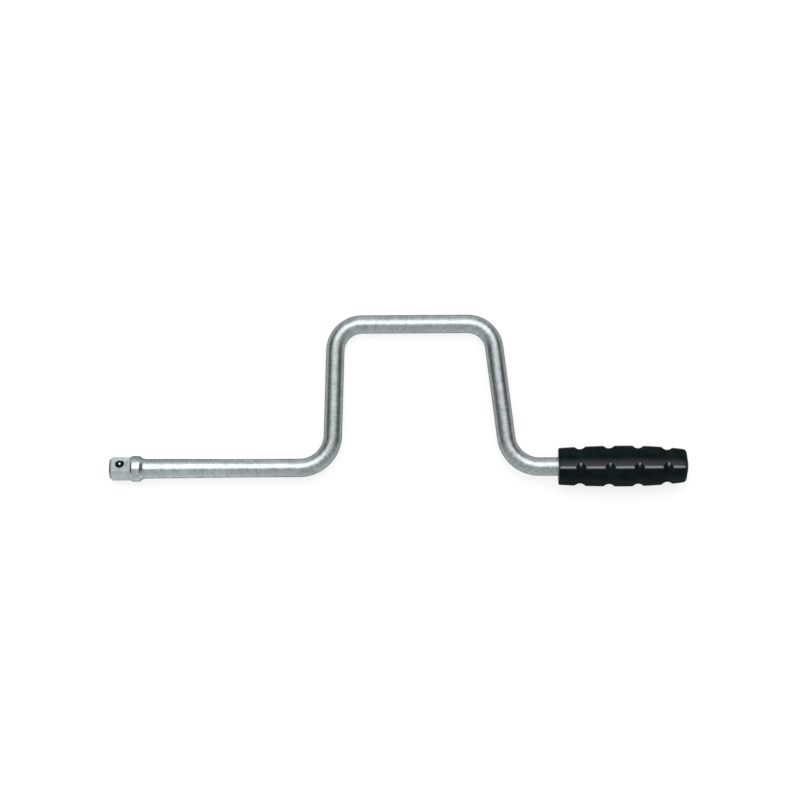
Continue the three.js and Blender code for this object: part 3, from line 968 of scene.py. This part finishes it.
    def build_square(self) -> Workpiece:
        """Models the drive square: a block drawn in at its end, with turned corners."""
        reach = self.square_length + self.collar_length / 2
        length = reach - self.bevel_length
        clear_bench()
        bpy.ops.mesh.primitive_cube_add(
            size=1.0,
            location=(self.bevel_length + length / 2, 0.0, 0.0),
            rotation=(-self.detent.turn, 0.0, 0.0),
            scale=(length, self.square_across, self.square_across),
        )
        work = Workpiece("drive_square")
        with work.edit():
            work.pick(lambda p: p.x < self.bevel_length + NEAR)
            work.draw_out(Vector((-self.bevel_length, 0.0, 0.0)))
            work.swell(0.0, 1.0 - 2 * self.bevel_depth / self.square_across)
            work.weld()
        corners = [
            (0.0, self.corner_end_radius),
            (self.corner_taper, self.corner_radius),
            (reach, self.corner_radius),
        ]
        work.fit(Workpiece.turned("square_corners", corners, self.sides), Fit.COMMON)
        return work

    def lay_grain(self, work: Workpiece) -> None:
        """Stores each vertex's place on the straightened bar, which the finish's grain follows.

        Args:
            work: The finished bar.
        """
        mesh = work.obj.data
        unbent = mesh.attributes.new("unbent", "FLOAT_VECTOR", "POINT")
        for vertex, entry in zip(mesh.vertices, unbent.data):
            _, along, side = min(turn.unbend(vertex.co) for turn in self.route)
            entry.vector = (along, side, vertex.co.z)

    def build(self) -> None:
        """Models and dresses the whole bar."""
        work = self.build_bar()
        work.fit(self.build_square(), Fit.JOIN)
        work.fit(self.detent.pocket(), Fit.CUT)
        work.soften(self.edge)
        work.shade()
        self.lay_grain(work)
        pocket_at = (self.detent.from_end, 0.0, 0.0)
        steel = SatinChrome(pocket_at=pocket_at, pocket_axis=tuple(self.detent.outward))
        work.finish(Body.CRANK, Slot.CHROMED_STEEL, steel, "crank_bar")


@dataclass
class Grip:
    """The moulded grip with its ridges and ring grooves, and the cap in its rear end."""

    start: float = 341.0 * MM
    length: float = 99.0 * MM
    turn: float = math.radians(2.5)
    ridge_round: float = 0.7 * MM
    front_radius: float = 14.15 * MM
    belly_radius: float = 15.7 * MM
    belly_at: float = 50.0 * MM
    rear_radius: float = 12.4 * MM
    face_bulge: float = 0.27
    front_round: float = 1.2 * MM
    rear_round: float = 3.2 * MM
    rear_dome: float = 1.1 * MM
    groove_count: int = 4
    groove_start: float = 16.4 * MM
    groove_pitch: float = 22.2 * MM
    groove_depth: float = 1.9 * MM
    groove_arc: float = 5.5 * MM
    counterbore: Station = (9.1 * MM, 7.4 * MM)
    bore_radius: float = 6.1 * MM
    recess: Station = (82.0 * MM, 6.9 * MM)
    cap_radius: float = 6.8 * MM
    cap_length: float = 8.0 * MM
    cap_wall: float = 1.5 * MM
    cap_dome: float = 0.9 * MM
    cap_edge: float = 0.3 * MM
    cap_soft: float = 0.12 * MM
    crest_depth: float = 0.65 * MM
    flank_rise: float = math.radians(4.0)
    flank_reach: float = math.radians(36.0)
    flank_polish: float = 0.72
    groove_rub: float = 1.3 * MM
    groove_skin: float = 0.15 * MM
    margin: float = 1.0 * MM
    voxel: float = 0.43 * MM
    smooth_factor: float = 0.5
    smooth_rounds: int = 3
    crisp_angle: float = math.radians(60.0)
    ridge_segments: int = 6
    face_cuts: int = 22
    barrel_steps: int = 64
    round_steps: int = 8
    sides: int = 96
    torus_sides: int = 160
    arc_sides: int = 64

    def ridge_radius(self, along: float) -> float:
        """Gives the radius of the ridges at a place along the grip: a barrel, fullest at its belly."""
        end, edge = (0.0, self.front_radius) if along < self.belly_at else (self.length, self.rear_radius)
        share = (along - self.belly_at) / (end - self.belly_at)
        return self.belly_radius - (self.belly_radius - edge) * share**2

    def ridge_line(self) -> list[Station]:
        """Gives the ridge line: rounded front, barrel, rounded and domed rear."""
        line: list[Station] = []
        rear_start = self.length - self.rear_dome - self.rear_round
        for step in range(self.round_steps):
            angle = QUARTER * step / self.round_steps
            along = self.front_round * (1 - math.cos(angle))
            line.append((along, self.ridge_radius(along) - self.front_round * (1 - math.sin(angle))))
        for step in range(self.barrel_steps):
            along = self.front_round + (rear_start - self.front_round) * step / self.barrel_steps
            line.append((along, self.ridge_radius(along)))
        for step in range(self.round_steps + 1):
            angle = QUARTER * step / self.round_steps
            along = rear_start + self.rear_round * math.sin(angle)
            line.append((along, self.ridge_radius(along) - self.rear_round * (1 - math.cos(angle))))
        dome_radius = line[-1][1]
        for step in range(1, self.round_steps + 1):
            share = 1 - step / self.round_steps
            line.append((self.length - self.rear_dome * share**2, dome_radius * share))
        return line

    def build_section(self, radius: float) -> Workpiece:
        """Draws the section: a square with rounded ridges and faces that bulge a little.

        Args:
            radius: Radius of the ridges.

        Returns:
            A ring of edges at the grip's front.
        """
        clear_bench()
        bpy.ops.mesh.primitive_circle_add(
            vertices=4, radius=radius, fill_type="NGON", rotation=(0.0, QUARTER, 0.0)
        )
        work = Workpiece("grip_moulding")
        with work.edit():
            bpy.ops.mesh.bevel(offset=self.ridge_round, segments=self.ridge_segments, affect="VERTICES")
            bpy.ops.mesh.select_all(action="SELECT")
            bpy.ops.mesh.delete(type="ONLY_FACE")
            mesh = bmesh.from_edit_mesh(work.obj.data)
            # Only the four long edges, the faces, are divided
            for edge in mesh.edges:
                edge.select_set(edge.calc_length() > radius / 2)
            bmesh.update_edit_mesh(work.obj.data)
            bpy.ops.mesh.subdivide(number_cuts=self.face_cuts)
            bpy.ops.mesh.select_all(action="SELECT")
            bpy.ops.transform.tosphere(value=self.face_bulge)
        radii = [vertex.co.length for vertex in work.obj.data.vertices]
        LOG.info("grip section: faces at %.3f of the ridges", min(radii) / max(radii))
        with work.edit():
            work.swell(0.0, radius / max(radii))
        return work

    def build_core(self) -> Workpiece:
        """Turns the core that leaves the grip's bore, counterbore and rear recess."""
        counterbore_depth, counterbore_radius = self.counterbore
        recess_floor, recess_radius = self.recess
        stations = [
            (-self.margin, counterbore_radius),
            (counterbore_depth, counterbore_radius),
            (counterbore_depth, self.bore_radius),
            (recess_floor, self.bore_radius),
            (recess_floor, recess_radius),
            (self.length + self.margin, recess_radius),
        ]
        return Workpiece.turned("grip_core", stations, self.sides)

    def grooves(self) -> list[Station]:
        """Gives each groove's place along the grip, with the radius at which its arc is centred."""
        places = [self.groove_start + groove * self.groove_pitch for groove in range(self.groove_count)]
        return [(along, self.ridge_radius(along) - self.groove_depth + self.groove_arc) for along in places]

    def build_groove(self, along: float, centre: float) -> Workpiece:
        """Makes the ring that cuts one groove across the ridges.

        Args:
            along: The groove's place along the grip.
            centre: The radius at which its arc is centred.

        Returns:
            The ring.
        """
        clear_bench()
        bpy.ops.mesh.primitive_torus_add(
            major_segments=self.torus_sides,
            minor_segments=self.arc_sides,
            major_radius=centre,
            minor_radius=self.groove_arc,
            location=(along, 0.0, 0.0),
            rotation=(0.0, QUARTER, 0.0),
        )
        return Workpiece("groove_ring")

    def seat(self) -> Matrix:
        """Matrix that puts a shape from the origin on the bar's end, turned as the photographed grip is."""
        return Matrix.Translation((self.start, 0.0, 0.0)) @ Matrix.Rotation(self.turn, 4, "X")

    def mark_handling(self, work: Workpiece) -> None:
        """Stores the crest of the ridges, which carries a painted highlight and a polish, and how far hands
        have polished the flank that is pushed.

        Args:
            work: The grip, still at the origin and unturned.
        """
        mesh = work.obj.data
        handled = mesh.attributes.new("handled", "FLOAT_VECTOR", "POINT")
        for vertex, entry in zip(mesh.vertices, handled.data):
            depth = self.ridge_radius(vertex.co.x) - math.hypot(vertex.co.y, vertex.co.z)
            angle = (math.atan2(vertex.co.y, vertex.co.z) + QUARTER / 2) % QUARTER - QUARTER / 2
            crest = clamp(1.0 - depth / self.crest_depth)
            rise = clamp(angle / self.flank_rise + 0.5)
            polish_and_highlight = self.groove_share(vertex.co)
            if polish_and_highlight is None:
                polish_and_highlight = self.flank_polish * clamp(1.0 - angle / self.flank_reach)
            entry.vector = (crest, rise * polish_and_highlight, 0.0)

    def groove_share(self, place: Vector) -> float | None:
        """Says how near a place of the unturned grip is to the bottom of a groove.

        Args:
            place: The place.

        Returns:
            1 at the bottom, falling to 0 on the groove's sides, or None off the grooves.
        """
        radius = math.hypot(place.y, place.z)
        for along, centre in self.grooves():
            if abs(math.hypot(place.x - along, radius - centre) - self.groove_arc) < self.groove_skin:
                return clamp(1.0 - abs(place.x - along) / self.groove_rub)
        return None

    def build_moulding(self) -> None:
        """Models the grip: lofted barrel, core, grooves and softened edges."""
        line = self.ridge_line()
        work = self.build_section(line[0][1])
        with work.edit():
            work.draw_profile(line)
            work.pick(lambda place: place.x < NEAR)
            bpy.ops.mesh.edge_face_add()
            work.weld()
        work.fit(self.build_core(), Fit.CUT)
        for along, centre in self.grooves():
            work.fit(self.build_groove(along, centre), Fit.CUT)
        work.apply("REMESH", mode="VOXEL", voxel_size=self.voxel, use_smooth_shade=True)
        work.apply("SMOOTH", factor=self.smooth_factor, iterations=self.smooth_rounds)
        self.mark_handling(work)
        work.place(self.seat())
        work.shade(self.crisp_angle)
        work.finish(Body.HANDLE, Slot.GRIP_PLASTIC, MouldedPlastic(), "grip")

    def build_cap(self) -> None:
        """Models the cup-shaped cap with its domed face."""
        rim = self.length - self.cap_dome
        front = self.length - self.cap_length
        inner = self.cap_radius - self.cap_wall
        stations = [
            (rim - self.cap_wall, inner),
            (front, inner),
            (front, self.cap_radius),
            (rim - self.cap_edge, self.cap_radius),
        ]
        flat = self.cap_radius - self.cap_edge
        for step in range(self.round_steps + 1):
            share = 1 - step / self.round_steps
            stations.append((self.length - self.cap_dome * share**2, flat * share))
        work = Workpiece.turned("end_cap_moulding", stations, self.sides)
        work.soften(self.cap_soft)
        work.place(self.seat())
        work.shade()
        work.finish(Body.HANDLE, Slot.GRIP_PLASTIC, MouldedPlastic(), "end_cap")

    def build(self) -> None:
        """Models and dresses the grip and its cap."""
        self.build_moulding()
        self.build_cap()


@dataclass
class Bearing:
    """The grip's bearing on the journal: two bushes, two thrust washers and a clip."""

    start: float
    bush_bore: float = 4.6 * MM
    bush_radius: float = 6.0 * MM
    bush_length: float = 15.0 * MM
    bush_chamfer: float = 0.4 * MM
    flange_radius: float = 6.7 * MM
    flange_thickness: float = 1.4 * MM
    front_bush_at: float = 7.6 * MM
    rear_bush_at: float = 83.5 * MM
    washer_bore: float = 4.75 * MM
    washer_thickness: float = 1.2 * MM
    front_washer: Station = (6.2 * MM, 7.0 * MM)
    rear_washer: Station = (83.7 * MM, 6.7 * MM)
    edge: float = 0.1 * MM
    sides: int = 72

    def turn_ring(self, name: str, stations: Sequence[Station]) -> Workpiece:
        """Turns one ring of the bearing and puts it in its place on the bar.

        Args:
            name: The piece's name.
            stations: Its closed profile along the grip.

        Returns:
            The ring, ready for its finish.
        """
        work = Workpiece.turned(name, stations, self.sides, looped=True)
        work.soften(self.edge)
        work.place(Matrix.Translation((self.start, 0.0, 0.0)))
        work.shade()
        return work

    def build_bush(self, node: str, along: float, facing: float) -> None:
        """Turns one flanged bush.

        Args:
            node: The solid that it stands for.
            along: Place of its flange's outer face along the grip.
            facing: 1 where its sleeve points along +X, or -1.
        """
        end = self.flange_thickness + self.bush_length
        profile = [
            (0.0, self.bush_bore),
            (0.0, self.flange_radius),
            (self.flange_thickness, self.flange_radius),
            (self.flange_thickness, self.bush_radius),
            (end - self.bush_chamfer, self.bush_radius),
            (end, self.bush_radius - self.bush_chamfer),
            (end, self.bush_bore),
            (0.0, self.bush_bore),
        ]
        stations = [(along + facing * place, radius) for place, radius in profile]
        work = self.turn_ring(f"{node}_bronze", stations)
        work.finish(Body.HANDLE, Slot.BRONZE, SINTERED_BRONZE, node)

    def build_washer(self, node: str, along: float, radius: float) -> None:
        """Turns one thrust washer.

        Args:
            node: The solid that it stands for.
            along: Place of its front face along the grip.
            radius: Its outer radius.
        """
        back = along + self.washer_thickness
        inner = (along, self.washer_bore)
        stations = [inner, (along, radius), (back, radius), (back, self.washer_bore), inner]
        work = self.turn_ring(f"{node}_plated", stations)
        work.finish(Body.CRANK, Slot.ZINC_PLATE, ZINC_PLATING, node)

    def dress_clip(self) -> None:
        """Gives the retaining clip's solid its finish."""
        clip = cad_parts["retaining_clip"]
        clip.data.materials.clear()
        clip.data.materials.append(SPRING_WIRE.material())
        LOG.info("retaining_clip: solid kept, %s", SPRING_WIRE.name)

    def build(self) -> None:
        """Models and dresses the bearing's pieces."""
        self.build_washer("front_washer", *self.front_washer)
        self.build_bush("front_bush", self.front_bush_at, 1.0)
        self.build_bush("rear_bush", self.rear_bush_at, -1.0)
        self.build_washer("rear_washer", *self.rear_washer)
        self.dress_clip()


@dataclass
class Studio:
    """Camera over the brace, white floor under it and soft light from above the crown."""

    aim: tuple[float, float] = (0.2210, 0.0512)
    roll: float = math.radians(0.33)
    distance: float = 1.9
    frame_width: float = 0.6084
    sensor: float = 36.0
    clip_end: float = 100.0
    floor_size: float = 30.0
    rests: tuple[Triple, Triple, Triple] = (
        (19.5 * MM, 0.0, -9.85 * MM),
        (231.7 * MM, 108.8 * MM, -7.1 * MM),
        (391.0 * MM, 0.7 * MM, -15.8 * MM),
    )
    light_distance: float = 1.9
    box_tilt: float = math.radians(26.0)
    box_size: tuple[float, float] = (2.6, 1.54)
    box_level: float = 1.95
    lamp_tilt: float = math.radians(18.0)
    lamp_size: tuple[float, float] = (0.10, 0.10)
    lamp_level: float = 46.0
    room_bright: float = 0.75
    room_mid: float = 0.54
    room_far: float = 0.33
    room_dark: float = 0.05
    bright_reach: Span = (-0.70, -0.40)
    far_reach: Span = (0.50, 0.95)
    side_reach: Span = (0.25, 0.80)
    side_start: Span = (-0.50, -0.10)
    glow: float = 0.75
    glow_tilt: float = math.radians(45.0)
    glow_reach: Span = (math.radians(50.0), math.radians(10.0))

    def set_camera(self) -> None:
        """Puts the camera straight over the brace, as it was photographed."""
        clear_bench()
        bpy.ops.object.camera_add(location=(*self.aim, self.distance), rotation=(0.0, 0.0, -self.roll))
        camera = bpy.context.object
        camera.name = "photo_camera"
        camera.data.sensor_width = self.sensor
        camera.data.lens = self.sensor * self.distance / self.frame_width
        camera.data.clip_end = self.clip_end
        bpy.context.scene.camera = camera

    def lay_floor(self) -> None:
        """Lays the floor under the three places on which the brace rests."""
        first, second, third = (Vector(rest) for rest in self.rests)
        up = (second - third).cross(first - third).normalized()
        clear_bench()
        bpy.ops.mesh.primitive_plane_add(size=self.floor_size)
        floor = Workpiece("floor")
        turn = Vector((0.0, 0.0, 1.0)).rotation_difference(up).to_matrix().to_4x4()
        floor.place(Matrix.Translation((first + second + third) / 3) @ turn)
        floor.obj.data.materials.append(FloorPaint().material())

    def hang_light(self, name: str, tilt: float, size: tuple[float, float], level: float) -> None:
        """Hangs a soft light over the far side of the brace.

        Args:
            name: The light's name.
            tilt: Its angle from straight above.
            size: Its width and height.
            level: Its brightness, where 1 is white.
        """
        target = Vector((*self.aim, 0.0))
        back = Vector((0.0, math.sin(tilt), math.cos(tilt)))
        clear_bench()
        bpy.ops.object.light_add(type="AREA", location=target + back * self.light_distance)
        light = bpy.context.object
        light.name = name
        light.rotation_euler = (-back).to_track_quat("-Z", "Y").to_euler()
        light.data.shape = "RECTANGLE"
        light.data.size, light.data.size_y = size
        light.data.energy = level * size[0] * size[1] * math.pi

    def fill_room(self) -> None:
        """Makes the room's own light: palest before the brace, dark at both sides, with a glow behind."""
        world = bpy.data.worlds.new("studio_room")
        world.use_nodes = True
        bpy.context.scene.world = world
        board = Board(world.node_tree)
        direction = board.node("ShaderNodeTexCoord", {}, {}, "Generated")
        across = board.node("ShaderNodeSeparateXYZ", {}, {"Vector": direction}, "X")
        onward = across.sibling("Y")
        sideways = board.fade(board.math("ABSOLUTE", across), *self.side_reach, 0.0, 1.0 - self.room_dark)
        shade = 1.0 - sideways * board.fade(onward, *self.side_start)
        facing = (0.0, math.sin(self.glow_tilt), math.cos(self.glow_tilt))
        nearness = board.vector("DOT_PRODUCT", "Value", direction, facing)
        outer, inner = (math.cos(angle) for angle in self.glow_reach)
        halo = board.fade(nearness, outer, inner, 0.0, self.glow)
        near = board.fade(onward, *self.bright_reach, self.room_bright, self.room_mid)
        far = board.fade(onward, *self.far_reach, 0.0, self.room_far - self.room_mid)
        strength = shade * (near + far + halo)
        room = board.node("ShaderNodeBackground", {}, {"Color": WHITE, "Strength": strength})
        board.node("ShaderNodeOutputWorld", {}, {"Surface": room})

    def build(self) -> None:
        """Sets up the whole studio."""
        bpy.context.scene.view_settings.view_transform = "Standard"
        self.set_camera()
        self.lay_floor()
        self.hang_light("softbox", self.box_tilt, self.box_size, self.box_level)
        self.hang_light("lamp", self.lamp_tilt, self.lamp_size, self.lamp_level)
        self.fill_room()


def main() -> None:
    """Builds the studio and every piece of the brace, in order."""
    logging.basicConfig(level=logging.INFO, format="%(name)s: %(message)s")
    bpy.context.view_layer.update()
    Studio().build()
    detent = Detent()
    CrankBar(detent).build()
    detent.build_ball()
    detent.build_spring()
    grip = Grip()
    grip.build()
    Bearing(grip.start).build()


if __name__ == "__main__":
    main()
